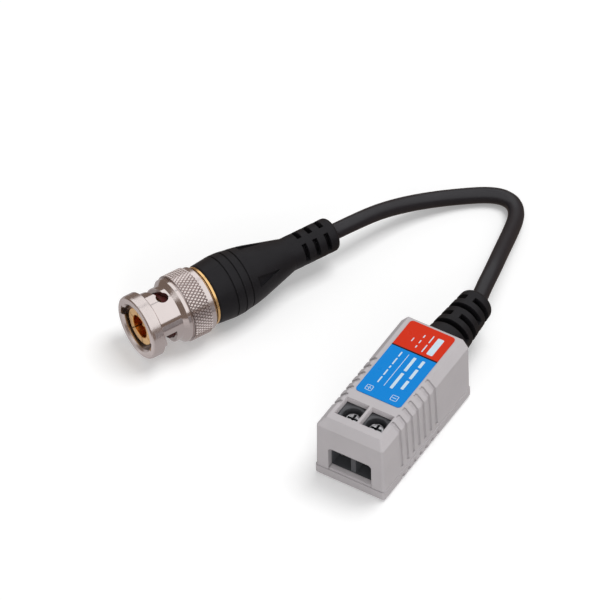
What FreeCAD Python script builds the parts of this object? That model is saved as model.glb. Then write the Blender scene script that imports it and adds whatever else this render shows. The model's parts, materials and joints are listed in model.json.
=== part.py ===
import FreeCAD, Part
import math
import os

os.makedirs("parts", exist_ok=True)
V = FreeCAD.Vector

# Passive video balun: a small clip-together housing with a two-pole screw terminal, a short
# lead and a moulded bayonet plug. Millimetres. The housing stands on z = 0 with its wire
# entry towards -Y and its lead leaving towards +Y.

# Housing
housing_width = 15.8
housing_length = 33.6
housing_height = 15.6
parting_height = 2.5
side_wall = 1.3
end_wall = 1.3
roof_thickness = 1.4
floor_thickness = 1.2
base_step = 0.15
side_draft = 0.2
corner_radius = 0.6
top_chamfer = 1.65
rear_chamfer = 0.3
roof_corner_radius = 0.3
cavity_chamfer = 1.0
foot_inset = 0.45
foot_height = 0.6
foot_corner_radius = 0.3
tongue_height = 0.6
tongue_thickness = 0.7
seam_gap = 0.1

# Grip grooves in the sides, and the notches that carry them on into the foot
groove_count = 7
groove_pitch = 2.225
groove_first_y = -9.45
groove_width = 0.85
groove_depth = 0.3
groove_bottom = 3.6
groove_roof_reach = 0.5
groove_lean = 2.5
groove_lean_height = 10.0
notch_top = 1.6
notch_width = 0.9
notch_depth = 0.6

# Windows in the housing
screw_window_length = 5.0
screw_window_divider = 0.64
screw_window_span = 10.84
wire_window_width = 9.9
wire_window_top = 8.65
wire_window_corner = 0.5
sill_set_back = 0.1

# Label
label_width = 10.4
label_length = 22.0
label_centre_y = 5.0
label_corner = 0.8
label_thickness = 0.15

# Circuit board and what is soldered to it
board_thickness = 1.0
board_standoff = 0.4
board_gap = 0.1
board_pad = 2.0
core_width = 7.0
core_length = 5.0
core_height = 5.0
core_hole_radius = 1.15
core_hole_spacing = 3.2
core_edge = 0.5
core_centre_y = 0.5
winding_radius = 0.85
winding_overhang = 0.3
suppressor_size = (4.3, 2.6, 2.2)
suppressor_centre = (0.0, 8.0)
suppressor_cap_length = 0.6
chip_size = (2.0, 1.25)
capacitor_height = 0.9
resistor_height = 0.55
chip_cap_length = 0.4
solder_thickness = 0.05
chip_edge_gap = 0.4
chip_centre_y = 6.4

# Screw terminal
pole_pitch = 5.4
screw_centre_y = -10.9
block_front_gap = 0.1
block_length = 8.15
block_end_wall = 0.2
block_head_gap = 0.2
block_chamfer = 0.3
well_radius = 2.15
well_lead_in = 0.3
well_floor_height = 11.4
shelf_thickness = 0.6
cell_width = 4.3
cell_length = 4.4
cell_floor = 0.4
wire_entry_width = 4.3
wire_entry_top = 8.4
wire_entry_sill = 0.5
head_radius = 1.65
head_height = 1.5
head_chamfer = 0.25
head_gap = 0.05
recess_width = 0.5
recess_length = 2.5
recess_depth = 0.7
thread_radius = 1.2
thread_gap = 0.05
shank_gap = 0.2
tip_gap = 0.1
cage_side_gap = 0.15
cage_length = 3.6
cage_wall = 0.5
cage_nut_thickness = 1.2
cage_corner = 0.4
cage_floor_gap = 0.05
wire_space = 2.8
bar_width = 2.6
bar_thickness = 0.7
bar_gap = 0.1
bar_nose_gap = 0.2
leg_width = 0.9
leg_thickness = 0.7
leg_below_board = 0.3
pin_fit_gap = 0.05
rear_rib = 0.7

# Strain relief on the housing
relief_height = 8.1
relief_length = 16.5
relief_root_radius = 4.8
relief_tip_radius = 3.6
relief_end_radius = 1.2
relief_neck_radius = 3.8
relief_neck_gap = 0.1
relief_wall_gap = 0.02
relief_flange_radius = 4.9
relief_flange_thickness = 1.2
relief_core_radius = 2.0
relief_slot_width = 1.35
relief_first_slot = 5.2
relief_slot_pitch = 2.77
relief_slot_count = 4
web_angle = 25.0

# Lead
cable_radius = 1.7
cable_entry_depth = 1.0
cable_entry_gap = 0.02
lead_first_step = V(-0.9, 3.2, -0.2)
plug_exit_run = 5.2
lead_radius = 0.45
lead_spacing = 1.8
lead_bend = 1.6
lead_run = 1.0

# Where the plug lies: centre of its front face and the direction of its axis
plug_face = V(-55.98, -7.21, 7.25)
plug_direction = 64.86

# Coupling nut, as stations from the front face
nut_ring_length = 2.7
nut_ring_radius = 6.9
nut_ring_chamfer = 0.35
nut_front_round = (0.2, 0.12)
nut_front_chamfer = 0.7
nut_bore_lead_in = 0.4
nut_neck_radius = 5.9
nut_neck_end = 7.8
nut_flange_radius = 6.85
nut_flange_start = 8.7
nut_groove_start = 9.3
nut_groove_width = 0.25
nut_groove_depth = 0.2
nut_knurl_radius = 7.0
nut_knurl_start = 9.7
nut_knurl_length = 4.15
nut_band_radius = 6.85
nut_band_chamfer = 0.6
nut_length = 15.6
nut_bore_radius = 4.95
nut_cavity_radius = 6.2
nut_shoulder = 8.7
nut_lip_thickness = 1.0
nut_lip_radius = 4.75
lug_way_radius = 5.65
lug_way_width = 2.4
lug_way_angle = -81.0
lug_way_end = 3.5
cam_start_angle = -96.0
cam_end_angle = -4.0
cam_front_start = 3.3
cam_front_end = 5.35
cam_rear_start = 6.1
cam_rear_end = 6.85
detent_angle = 5.0
detent_station = 6.1
detent_radius = 1.3

# Outer contact with its collar, hub and rear flange
contact_radius = 4.1
contact_bore_radius = 2.5
contact_recess = 0.9
contact_edge = 0.1
contact_slot_count = 6
contact_slot_width = 0.2
contact_slot_length = 5.0
contact_slot_angle = -13.0
contact_seat_radius = 3.9
contact_step_gap = 0.1
collar_gap = 0.1
collar_radius = 5.9
collar_length = 3.1
hub_radius = 4.6
rear_flange_gap = 0.1
rear_flange_radius = 6.35
rear_flange_thickness = 0.5
tail_radius = 3.2
tail_length = 5.0
tail_bore_radius = 1.35
bore_depth = 12.9

# Pieces inside the plug
gasket_length = 2.85
gasket_radius = 4.8
gasket_gap = 0.03
washer_thickness = 0.65
washer_radius = 6.05
washer_bore_radius = 4.65
washer_gap = 0.05
spring_thickness = 0.3
spring_radius = 5.95
spring_bore_radius = 4.75
spring_gap = 0.02
insulator_depth = 5.4
insulator_gap = 0.04
pin_radius = 0.675
pin_root_radius = 0.9
pin_step_gap = 0.1
pin_recess = 1.7
pin_collar_radius = 1.2
pin_collar_length = 1.2
pin_tail_length = 3.6
ferrule_wall = 0.5
ferrule_gap = 0.04
ferrule_length = 6.4
ferrule_setback = 0.3
ferrule_end_gap = 0.1

# Moulded boot of the plug
boot_gap = 0.08
boot_front_radius = 6.45
boot_band_radii = (6.8, 6.76, 6.46)
boot_edge = 0.35
boot_groove_stations = (20.4, 22.4, 24.3)
boot_groove_width = 0.3
boot_groove_depth = 0.25
boot_shoulder_middle = 26.4
boot_shoulder_middle_radius = 6.16
boot_shoulder_end = 28.2
boot_shoulder_end_radius = 5.78
boot_relief_radius = 3.6
boot_relief_start = 36.4
boot_end_radius = 1.0
plug_length = 47.4
boot_slot_stations = (39.3, 41.9, 44.6)
boot_slot_width = 1.05
boot_core_radius = 2.0
boot_web_angle = 19.0
dart_start = 26.2
dart_length = 6.0
dart_width = 2.4
dart_floor_radius = 5.55
dart_rise = 1.15

# Values that follow from the sizes above
half_width = housing_width / 2
half_length = housing_length / 2
inner_half_width = half_width - side_wall
inner_half_length = half_length - end_wall
ceiling = housing_height - roof_thickness
tongue_half_width = inner_half_width - seam_gap
tongue_half_length = inner_half_length - seam_gap
pocket_half_width = tongue_half_width - tongue_thickness
pocket_half_length = tongue_half_length - tongue_thickness
board_bottom = floor_thickness + board_standoff
board_top = board_bottom + board_thickness
block_front = -half_length + end_wall + block_front_gap
block_rear = block_front + block_length
block_half_width = pole_pitch + block_end_wall
block_top = ceiling - block_head_gap
cell_bottom = board_top + cell_floor
cage_bottom = cell_bottom + cage_floor_gap
bar_bottom = cage_bottom + cage_wall + wire_space
bar_top = bar_bottom + bar_thickness
cage_nut_bottom = bar_top + bar_gap
cage_top = cage_nut_bottom + cage_nut_thickness
head_bottom = well_floor_height + head_gap
pole_centres = {"left": -pole_pitch / 2, "right": pole_pitch / 2}
tiny = 1e-4


def edges_of(shape, test):
    """The edges whose extents pass the test."""
    return [edge for edge in shape.Edges if test(edge.BoundBox)]


def box(x0, x1, y0, y1, z0, z1):
    return Part.makeBox(x1 - x0, y1 - y0, z1 - z0, V(x0, y0, z0))


def rounded_outline(half_x, front, rear, radius, height):
    """A level rectangle with round corners, as a wire."""
    corners = [(1, front + radius), (1, rear - radius), (-1, rear - radius), (-1, front + radius)]
    arcs = []
    for number, (side, centre_y) in enumerate(corners):
        centre = V(side * (half_x - radius), centre_y, height)
        points = []
        for step in range(3):
            angle = math.radians(90 * number - 90 + 45 * step)
            points.append(centre + V(math.cos(angle), math.sin(angle), 0) * radius)
        arcs.append(points)
    edges = []
    for arc, following in zip(arcs, arcs[1:] + arcs[:1]):
        edges.append(Part.Arc(*arc).toShape())
        edges.append(Part.LineSegment(arc[-1], following[0]).toShape())
    return Part.Wire(edges)


def prism(corners, start, travel):
    """A closed outline of vectors, moved by start and extruded by travel."""
    placed = [corner + start for corner in corners]
    face = Part.Face(Part.makePolygon(placed + [placed[0]]))
    return face.extrude(travel)


def turned(profile):
    """A solid of revolution about X from (station, radius) pairs."""
    corners = [V(station, 0, radius) for station, radius in profile]
    face = Part.Face(Part.makePolygon(corners + [corners[0]]))
    return face.revolve(V(0, 0, 0), V(1, 0, 0), 360)


def ring(start, end, inner, outer):
    return turned([(start, inner), (start, outer), (end, outer), (end, inner)])


def radial(angle):
    """Unit vector out of the plug's axis, from straight up towards -Y."""
    return V(0, -math.sin(math.radians(angle)), math.cos(math.radians(angle)))


def turn_about_axis(shape, angle):
    """The same angle as in radial(), as a rotation of a shape."""
    copy = shape.copy()
    copy.rotate(V(0, 0, 0), V(1, 0, 0), angle)
    return copy


def along_lead(shape, start_y, height):
    """From the turning axis X to the lead's axis at the housing, which points along +Y."""
    copy = shape.copy()
    copy.rotate(V(0, 0, 0), V(0, 0, 1), 90)
    copy.translate(V(0, start_y, height))
    return copy


def on_plug(shape):
    """From the plug's own axes to where it lies."""
    copy = shape.copy()
    copy.rotate(V(0, 0, 0), V(0, 0, 1), plug_direction)
    copy.translate(plug_face)
    return copy


def one_solid(shape):
    """The single solid of a finished shape, with its split faces joined."""
    joined = shape.removeSplitter()
    return joined.Solids[0] if len(joined.Solids) == 1 else joined


def bent_path(points):
    """Straight runs joined by tangent arcs, each as large as its two runs allow."""
    edges = []
    radii = []
    last = points[0]
    for before, corner, after in zip(points, points[1:], points[2:]):
        inward = (before - corner).normalize()
        outward = (after - corner).normalize()
        reach = 0.45 * min(before.distanceToPoint(corner), after.distanceToPoint(corner))
        turn = math.pi - inward.getAngle(outward)
        radius = reach / math.tan(turn / 2)
        centre_way = (inward + outward).normalize()
        start = corner + inward * reach
        end = corner + outward * reach
        middle = corner + centre_way * (radius / math.cos(turn / 2) - radius)
        edges.append(Part.LineSegment(last, start).toShape())
        edges.append(Part.Arc(start, middle, end).toShape())
        radii.append(radius)
        last = end
    edges.append(Part.LineSegment(last, points[-1]).toShape())
    return Part.Wire(edges), radii


def tube(points, radius):
    path, radii = bent_path(points)
    start_way = points[1] - points[0]
    section = Part.Face(Part.Wire(Part.makeCircle(radius, points[0], start_way)))
    return path.makePipe(section), path.Length, radii


def slot_ring(station, width, core, outer, web_centres):
    """A ring of slots around X, broken by webs at the given angles."""
    slots = ring(station - width / 2, station + width / 2, core, outer)
    for centre in web_centres:
        half = math.radians(web_angle / 2)
        reach = outer * 1.2
        wedge = [V(0, 0, 0), V(0, reach * math.tan(half), reach), V(0, -reach * math.tan(half), reach)]
        web = prism(wedge, V(station - width, 0, 0), V(2 * width, 0, 0))
        slots = slots.cut(turn_about_axis(web, centre))
    return slots


# Outline of the upper shell, and the floor of a groove that follows it at one depth
shoulder = housing_height - top_chamfer
shoulder_half_width = half_width - side_draft
roof_half_width = half_width - top_chamfer
draft_slope = side_draft / (shoulder - parting_height)
chamfer_lean = math.atan2(shoulder_half_width - roof_half_width, top_chamfer)
shoulder_set_back = groove_depth * math.tan(chamfer_lean / 2)
roof_set_back = groove_depth * math.tan(math.pi / 4 - chamfer_lean / 2)
groove_bottom_x = half_width - draft_slope * (groove_bottom - parting_height)
groove_stations = [groove_first_y + groove_pitch * number for number in range(groove_count)]


def leaning_y(rear_y, height):
    """Where a groove's rear wall stands at a height."""
    return rear_y - (height - groove_lean_height) * math.tan(math.radians(groove_lean))


def grip_groove(side, rear_y):
    """A closed-ended groove up the side, over the chamfer and onto the top."""
    outline = [
        (half_width + 1, groove_bottom),
        (groove_bottom_x - groove_depth, groove_bottom),
        (shoulder_half_width - groove_depth, shoulder - shoulder_set_back),
        (roof_half_width - roof_set_back, housing_height - groove_depth),
        (roof_half_width - groove_roof_reach, housing_height - groove_depth),
        (roof_half_width - groove_roof_reach, housing_height + 1),
        (half_width + 1, housing_height + 1),
    ]
    corners = [V(side * x, leaning_y(rear_y, z), z) for x, z in outline]
    return prism(corners, V(0, -groove_width, 0), V(0, groove_width, 0))


def foot_notch(side, rear_y):
    """A round-topped notch in the foot, below a groove."""
    x0, x1 = sorted((side * (base_half_width - notch_depth), side * (base_half_width + 1)))
    round_height = notch_top - notch_width / 2
    rear = leaning_y(rear_y, round_height)
    slot = box(x0, x1, rear - notch_width, rear, -1, round_height)
    round_top = Part.makeCylinder(
        notch_width / 2, x1 - x0, V(x0, rear - notch_width / 2, round_height), V(1, 0, 0)
    )
    return slot.fuse(round_top)


# Upper shell: a part with slightly drafted sides, and above it a frustum whose front and sides lean in
foot_outline = rounded_outline(half_width, -half_length, half_length, corner_radius, parting_height)
shoulder_outline = rounded_outline(
    shoulder_half_width, -half_length, half_length, corner_radius, shoulder
)
roof_outline = rounded_outline(
    roof_half_width, -half_length + top_chamfer, half_length, roof_corner_radius, housing_height
)
shell = Part.makeLoft([foot_outline, shoulder_outline], True, True)
shell = shell.fuse(Part.makeLoft([shoulder_outline, roof_outline], True, True))
rear_bevel_outline = [
    V(0, half_length - rear_chamfer, housing_height),
    V(0, half_length + 1, housing_height + 1),
    V(0, half_length + 1, housing_height - rear_chamfer - 1),
]
rear_bevel = prism(rear_bevel_outline, V(-half_width, 0, 0), V(housing_width, 0, 0))
shell = shell.cut(rear_bevel).removeSplitter()
grooves = [grip_groove(side, y) for side in (-1, 1) for y in groove_stations]

cavity_outline = [
    V(-inner_half_width, 0, 0),
    V(inner_half_width, 0, 0),
    V(inner_half_width, 0, ceiling - cavity_chamfer),
    V(inner_half_width - cavity_chamfer, 0, ceiling),
    V(-inner_half_width + cavity_chamfer, 0, ceiling),
    V(-inner_half_width, 0, ceiling - cavity_chamfer),
]
cavity = prism(cavity_outline, V(0, -inner_half_length, 0), V(0, 2 * inner_half_length, 0))

# Two windows over the screws, with a thin divider, and one wide window for the wires
window_inner = screw_window_divider / 2
window_outer = screw_window_span / 2
window_front = screw_centre_y - screw_window_length / 2
window_rear = screw_centre_y + screw_window_length / 2
screw_windows = [
    box(window_inner, window_outer, window_front, window_rear, ceiling - 1, housing_height + 1),
    box(-window_outer, -window_inner, window_front, window_rear, ceiling - 1, housing_height + 1),
]
wire_half = wire_window_width / 2
wire_outline = [
    V(-wire_half, 0, parting_height - 1),
    V(wire_half, 0, parting_height - 1),
    V(wire_half, 0, wire_window_top - wire_window_corner),
    V(wire_half - wire_window_corner, 0, wire_window_top),
    V(-wire_half + wire_window_corner, 0, wire_window_top),
    V(-wire_half, 0, wire_window_top - wire_window_corner),
]
wire_window = prism(wire_outline, V(0, -half_length - 1, 0), V(0, end_wall + 2, 0))
relief_hole = Part.makeCylinder(
    relief_neck_radius + relief_neck_gap, end_wall + 2, V(0, inner_half_length - 1, relief_height), V(0, 1, 0)
)
housing_shell = shell.cut([cavity, wire_window, relief_hole] + screw_windows + grooves)

# Base tray: its tongue stands inside the shell, and a sill on it fills the foot of the wire window
base_half_width = half_width + base_step
base_half_length = half_length + base_step
base_outline = rounded_outline(
    base_half_width, -base_half_length, base_half_length, corner_radius, foot_height
)
under_outline = rounded_outline(
    base_half_width - foot_inset, -base_half_length + foot_inset, base_half_length - foot_inset,
    foot_corner_radius, 0
)
base = Part.Face(base_outline).extrude(V(0, 0, parting_height - foot_height))
base = base.fuse(Part.makeLoft([under_outline, base_outline], True, True)).removeSplitter()
base = base.cut([foot_notch(side, y) for side in (-1, 1) for y in groove_stations])
tongue = box(
    -tongue_half_width, tongue_half_width, -tongue_half_length, tongue_half_length,
    parting_height - 0.5, parting_height + tongue_height
)
sill = box(
    -wire_half + seam_gap, wire_half - seam_gap, -half_length + sill_set_back, -pocket_half_length,
    parting_height - 0.5, parting_height + tongue_height
)
base = base.multiFuse([tongue, sill])
pocket = box(
    -pocket_half_width, pocket_half_width, -pocket_half_length, pocket_half_length,
    floor_thickness, parting_height + tongue_height + 1
)
block_way = box(
    -block_half_width - seam_gap, block_half_width + seam_gap,
    block_front - seam_gap, -pocket_half_length + 1,
    parting_height, parting_height + tongue_height + 1
)
base = base.cut([pocket, block_way])
pads = []
for side_x in (-1, 1):
    for side_y in (-1, 1):
        x0, x1 = sorted((side_x * pocket_half_width, side_x * (pocket_half_width - board_pad)))
        y0, y1 = sorted((side_y * pocket_half_length, side_y * (pocket_half_length - board_pad)))
        pads.append(box(x0, x1, y0, y1, floor_thickness - 0.2, board_bottom))
housing_base = base.multiFuse(pads)

# Printed label on the top
label_outline = rounded_outline(
    label_width / 2, label_centre_y - label_length / 2, label_centre_y + label_length / 2,
    label_corner, housing_height
)
label = Part.Face(label_outline).extrude(V(0, 0, label_thickness))

# Circuit board with clearance holes for the two terminal legs
board_half_width = pocket_half_width - board_gap
board_half_length = pocket_half_length - board_gap
circuit_board = box(
    -board_half_width, board_half_width, -board_half_length, board_half_length, board_bottom, board_top
)
leg_rear = block_rear - rear_rib
leg_front = leg_rear - leg_thickness
leg_holes = []
for centre in pole_centres.values():
    leg_holes.append(
        box(
            centre - leg_width / 2 - pin_fit_gap, centre + leg_width / 2 + pin_fit_gap,
            leg_front - pin_fit_gap, leg_rear + pin_fit_gap, board_bottom - 1, board_top + 1
        )
    )
circuit_board = circuit_board.cut(leg_holes)

# Two-hole ferrite core and the wire bundle wound through it
core_block = box(
    -core_width / 2, core_width / 2,
    core_centre_y - core_length / 2, core_centre_y + core_length / 2,
    board_top, board_top + core_height
)
core_block = core_block.makeFillet(core_edge, edges_of(core_block, lambda extent: extent.YLength > tiny))
core_axis_height = board_top + core_height / 2
core_holes = []
for side in (-1, 1):
    hole_start = V(side * core_hole_spacing / 2, core_centre_y - core_length, core_axis_height)
    core_holes.append(Part.makeCylinder(core_hole_radius, 2 * core_length, hole_start, V(0, 1, 0)))
transformer_core = core_block.cut(core_holes)

winding_bend = core_hole_spacing / 2
winding_straight = core_length + 2 * winding_overhang
straight_front = core_centre_y - winding_straight / 2
straight_rear = core_centre_y + winding_straight / 2
winding_sides = 8
bundle_corners = []
for number in range(winding_sides):
    angle = 2 * math.pi * (number + 0.5) / winding_sides
    corner_x = winding_bend + winding_radius * math.cos(angle)
    bundle_corners.append(V(corner_x, 0, core_axis_height + winding_radius * math.sin(angle)))
bundle = Part.Face(Part.makePolygon(bundle_corners + [bundle_corners[0]]))
right_run = bundle.extrude(V(0, winding_straight, 0))
right_run.translate(V(0, straight_front, 0))
rear_bend = bundle.revolve(V(0, 0, 0), V(0, 0, 1), 180)
rear_bend.translate(V(0, straight_rear, 0))
left_run = right_run.mirror(V(0, 0, 0), V(1, 0, 0))
front_bend = rear_bend.mirror(V(0, core_centre_y, 0), V(0, 1, 0))
transformer_winding = right_run.multiFuse([left_run, rear_bend, front_bend])


def chip(centre_x, centre_y, length, width, height, cap):
    """A surface-mounted body with a slightly taller solder cap at each end."""
    body = box(
        centre_x - length / 2, centre_x + length / 2,
        centre_y - width / 2, centre_y + width / 2, board_top, board_top + height
    )
    cap_half_width = width / 2 + solder_thickness
    cap_top = board_top + height + solder_thickness
    caps = []
    for side in (-1, 1):
        inner = centre_x + side * (length / 2 - cap)
        outer = centre_x + side * (length / 2 + solder_thickness)
        x0, x1 = sorted((inner, outer))
        caps.append(box(x0, x1, centre_y - cap_half_width, centre_y + cap_half_width, board_top, cap_top))
    return body.multiFuse(caps)


chip_centre_x = board_half_width - chip_edge_gap - chip_size[0] / 2
surge_suppressor = chip(*suppressor_centre, *suppressor_size, suppressor_cap_length)
chip_capacitor = chip(-chip_centre_x, chip_centre_y, *chip_size, capacitor_height, chip_cap_length)
chip_resistor = chip(chip_centre_x, chip_centre_y, *chip_size, resistor_height, chip_cap_length)

# Terminal block with one well, one cage cell, one wire entry and one pin slot per pole
block = box(-block_half_width, block_half_width, block_front, block_rear, board_top, block_top)
block = block.makeChamfer(
    block_chamfer, edges_of(block, lambda extent: extent.ZMin > block_top - tiny and extent.XLength > tiny)
)
block_cuts = []
for centre in pole_centres.values():
    axis = V(centre, screw_centre_y, 0)
    well_depth = block_top - well_floor_height
    well = Part.makeCylinder(well_radius, well_depth + 1, axis + V(0, 0, well_floor_height))
    lead_in = Part.makeCone(
        well_radius, well_radius + well_lead_in, well_lead_in, axis + V(0, 0, block_top - well_lead_in)
    )
    shelf_bottom = well_floor_height - shelf_thickness
    shank_hole = Part.makeCylinder(
        thread_radius + shank_gap, shelf_thickness + 2, axis + V(0, 0, shelf_bottom - 1)
    )
    cell = box(
        centre - cell_width / 2, centre + cell_width / 2,
        screw_centre_y - cell_length / 2, screw_centre_y + cell_length / 2,
        cell_bottom, shelf_bottom
    )
    entry = box(
        centre - wire_entry_width / 2, centre + wire_entry_width / 2,
        block_front - 1, screw_centre_y, board_top + wire_entry_sill, wire_entry_top
    )
    pin_slot = box(
        centre - bar_width / 2 - pin_fit_gap, centre + bar_width / 2 + pin_fit_gap,
        screw_centre_y, leg_rear + pin_fit_gap, board_top - 1, bar_top + pin_fit_gap
    )
    block_cuts += [well, lead_in, shank_hole, cell, entry, pin_slot]
terminal_block = block.cut(block_cuts)


def terminal_screw(centre):
    """Captive clamp screw with a cross recess; its plain shank stands for the thread."""
    head = Part.makeCylinder(head_radius, head_height, V(0, 0, head_bottom))
    head_top = head_bottom + head_height
    head = head.makeChamfer(head_chamfer, edges_of(head, lambda extent: extent.ZMin > head_top - tiny))
    tip = bar_top + tip_gap
    shank = Part.makeCylinder(thread_radius, head_bottom - tip, V(0, 0, tip))
    screw = head.fuse(shank)
    recess_bottom = head_top - recess_depth
    half_long = recess_length / 2
    half_wide = recess_width / 2
    bar_one = box(-half_long, half_long, -half_wide, half_wide, recess_bottom, recess_bottom + 2)
    bar_two = box(-half_wide, half_wide, -half_long, half_long, recess_bottom, recess_bottom + 2)
    screw = screw.cut([bar_one, bar_two])
    screw.translate(V(centre, screw_centre_y, 0))
    return screw


def clamp_cage(centre):
    """Rising cage: a square loop, open to the front and rear, with a thick threaded top."""
    half = cell_width / 2 - cage_side_gap
    front = screw_centre_y - cage_length / 2
    rear = screw_centre_y + cage_length / 2
    outer = box(centre - half, centre + half, front, rear, cage_bottom, cage_top)
    outer = outer.makeFillet(cage_corner, edges_of(outer, lambda extent: extent.YLength > tiny))
    inner = box(
        centre - half + cage_wall, centre + half - cage_wall, front - 1, rear + 1,
        cage_bottom + cage_wall, cage_nut_bottom
    )
    thread = Part.makeCylinder(
        thread_radius + thread_gap, cage_nut_thickness + 2, V(centre, screw_centre_y, cage_nut_bottom - 1)
    )
    return outer.cut([inner, thread])


def terminal_pin(centre):
    """Current bar over the wire space, with a leg down through the board."""
    bar = box(
        centre - bar_width / 2, centre + bar_width / 2,
        screw_centre_y - cage_length / 2 - bar_nose_gap, leg_rear, bar_bottom, bar_top
    )
    leg = box(
        centre - leg_width / 2, centre + leg_width / 2, leg_front, leg_rear,
        board_bottom - leg_below_board, bar_bottom
    )
    return bar.fuse(leg)


# Strain relief on the housing: a slotted cone outside, a neck in the wall and a flange inside
relief_start = end_wall + relief_flange_thickness
relief_profile = [
    (0, 0),
    (0, relief_flange_radius),
    (relief_flange_thickness - relief_wall_gap, relief_flange_radius),
    (relief_flange_thickness - relief_wall_gap, relief_neck_radius),
    (relief_start + relief_wall_gap, relief_neck_radius),
    (relief_start + relief_wall_gap, relief_root_radius),
    (relief_start + relief_length, relief_tip_radius),
    (relief_start + relief_length, 0),
]
relief = turned(relief_profile)
relief_tip = relief_start + relief_length
tip_rim = edges_of(relief, lambda extent: extent.XMin > relief_tip - tiny and extent.ZLength > tiny)
relief = relief.makeFillet(relief_end_radius, tip_rim)
relief_slots = []
for number in range(relief_slot_count):
    station = relief_start + relief_first_slot + number * relief_slot_pitch
    webs = (90, 270) if number % 2 == 0 else (0, 180)
    relief_slots.append(
        slot_ring(station, relief_slot_width, relief_core_radius, relief_root_radius + 1, webs)
    )
relief = relief.cut(relief_slots)
relief_inner_y = inner_half_length - relief_flange_thickness
relief_end_y = relief_inner_y + relief_tip

# The lead's path: it leaves the relief's end at a slight angle and comes straight into the plug
plug_way = V(math.cos(math.radians(plug_direction)), math.sin(math.radians(plug_direction)), 0)
relief_mouth = V(0, relief_end_y, relief_height)
first_bend = relief_mouth + lead_first_step
cable_exit_way = V(lead_first_step).normalize()
cable_start = relief_mouth - cable_exit_way * cable_entry_depth
cable_end = plug_face + plug_way * plug_length
cable_points = [
    cable_start,
    first_bend,
    V(-2.2, 43.0, 7.6),
    V(-4.1, 49.6, 6.0),
    V(-6.3, 57.2, 3.8),
    V(-8.2, 63.0, 2.3),
    V(-10.6, 66.2, 1.8),
    V(-13.6, 66.9, 1.8),
    V(-16.9, 65.7, 1.8),
    V(-20.8, 62.8, 1.9),
    V(-25.0, 58.3, 2.8),
    V(-28.6, 53.1, 4.1),
    V(-31.4, 47.0, 5.9),
    cable_end + plug_way * plug_exit_run,
    cable_end,
]
cable, cable_length, cable_radii = tube(cable_points, cable_radius)
print("cable length", round(cable_length, 2))
print("cable arc radii", [round(radius, 1) for radius in cable_radii])
print("cable volume", round(cable.Volume, 2))
print("cable section times length", round(math.pi * cable_radius ** 2 * cable_length, 2))
cable_socket = Part.makeCylinder(
    cable_radius + cable_entry_gap, 2 * cable_entry_depth, cable_start, cable_exit_way
)
cable_relief = along_lead(relief, relief_inner_y, relief_height).cut(cable_socket)

# Two short leads from the relief down to the board
lead_pieces = {}
for name, side in (("signal_lead", -1), ("screen_lead", 1)):
    lead_start = V(side * lead_spacing / 2, relief_inner_y, relief_height)
    corner = lead_start - V(0, lead_run + lead_bend, 0)
    foot = V(corner.x, corner.y, board_top)
    bend_start = corner + V(0, lead_bend, 0)
    bend_end = corner - V(0, 0, lead_bend)
    bend_middle = corner + V(0, lead_bend, -lead_bend) + V(0, -lead_bend, lead_bend) * (1 / math.sqrt(2))
    lead_path = Part.Wire([
        Part.LineSegment(lead_start, bend_start).toShape(),
        Part.Arc(bend_start, bend_middle, bend_end).toShape(),
        Part.LineSegment(bend_end, foot).toShape(),
    ])
    lead_section = Part.Face(Part.Wire(Part.makeCircle(lead_radius, lead_start, V(0, -1, 0))))
    lead_pieces[name] = lead_path.makePipe(lead_section)

# Coupling nut: front ring, neck with two bayonet slots, flange, knurled grip and rear lip
nut_outline = [
    (0, nut_bore_radius + nut_bore_lead_in),
    (0, nut_ring_radius - nut_ring_chamfer),
    (nut_front_round[0], nut_ring_radius - nut_front_round[1]),
    (nut_front_chamfer, nut_ring_radius),
    (nut_ring_length - nut_ring_chamfer / 2, nut_ring_radius),
    (nut_ring_length, nut_ring_radius - nut_ring_chamfer / 2),
    (nut_ring_length, nut_neck_radius),
    (nut_neck_end, nut_neck_radius),
    (nut_flange_start, nut_flange_radius),
    (nut_groove_start, nut_flange_radius),
    (nut_groove_start, nut_flange_radius - nut_groove_depth),
    (nut_groove_start + nut_groove_width, nut_flange_radius - nut_groove_depth),
    (nut_groove_start + nut_groove_width, nut_flange_radius),
    (nut_knurl_start, nut_knurl_radius),
    (nut_knurl_start + nut_knurl_length, nut_knurl_radius),
    (nut_knurl_start + nut_knurl_length + 0.15, nut_band_radius),
    (nut_length - nut_band_chamfer, nut_band_radius),
    (nut_length, nut_band_radius - nut_band_chamfer),
    (nut_length, nut_lip_radius),
    (nut_length - nut_lip_thickness, nut_lip_radius),
    (nut_length - nut_lip_thickness, nut_cavity_radius),
    (nut_shoulder, nut_cavity_radius),
    (nut_shoulder, nut_bore_radius),
    (nut_bore_lead_in, nut_bore_radius),
]
nut = turned(nut_outline)


def cam_slot():
    """Tapering bayonet slot through the neck, lofted between radial sections."""
    sections = []
    steps = 8
    inner = nut_bore_radius - 0.4
    outer = nut_neck_radius + 0.4
    for number in range(steps + 1):
        share = number / steps
        angle = cam_start_angle + (cam_end_angle - cam_start_angle) * share
        front = cam_front_start + (cam_front_end - cam_front_start) * share
        rear = cam_rear_start + (cam_rear_end - cam_rear_start) * share
        way = radial(angle)
        corners = [
            way * inner + V(front, 0, 0), way * outer + V(front, 0, 0),
            way * outer + V(rear, 0, 0), way * inner + V(rear, 0, 0)
        ]
        sections.append(Part.makePolygon(corners + [corners[0]]))
    return Part.makeLoft(sections, True, False)


nut_cuts = []
for half_turn in (0, 180):
    way = radial(detent_angle)
    detent = Part.makeCylinder(detent_radius, 3, V(detent_station, 0, 0) + way * (nut_bore_radius - 0.8), way)
    lug_way = box(
        -1, lug_way_end, -lug_way_width / 2, lug_way_width / 2, nut_bore_radius - 0.8, lug_way_radius
    )
    nut_cuts.append(turn_about_axis(cam_slot(), half_turn))
    nut_cuts.append(turn_about_axis(detent, half_turn))
    nut_cuts.append(turn_about_axis(lug_way, lug_way_angle + half_turn))
coupling_nut = nut.cut(nut_cuts)

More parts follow.
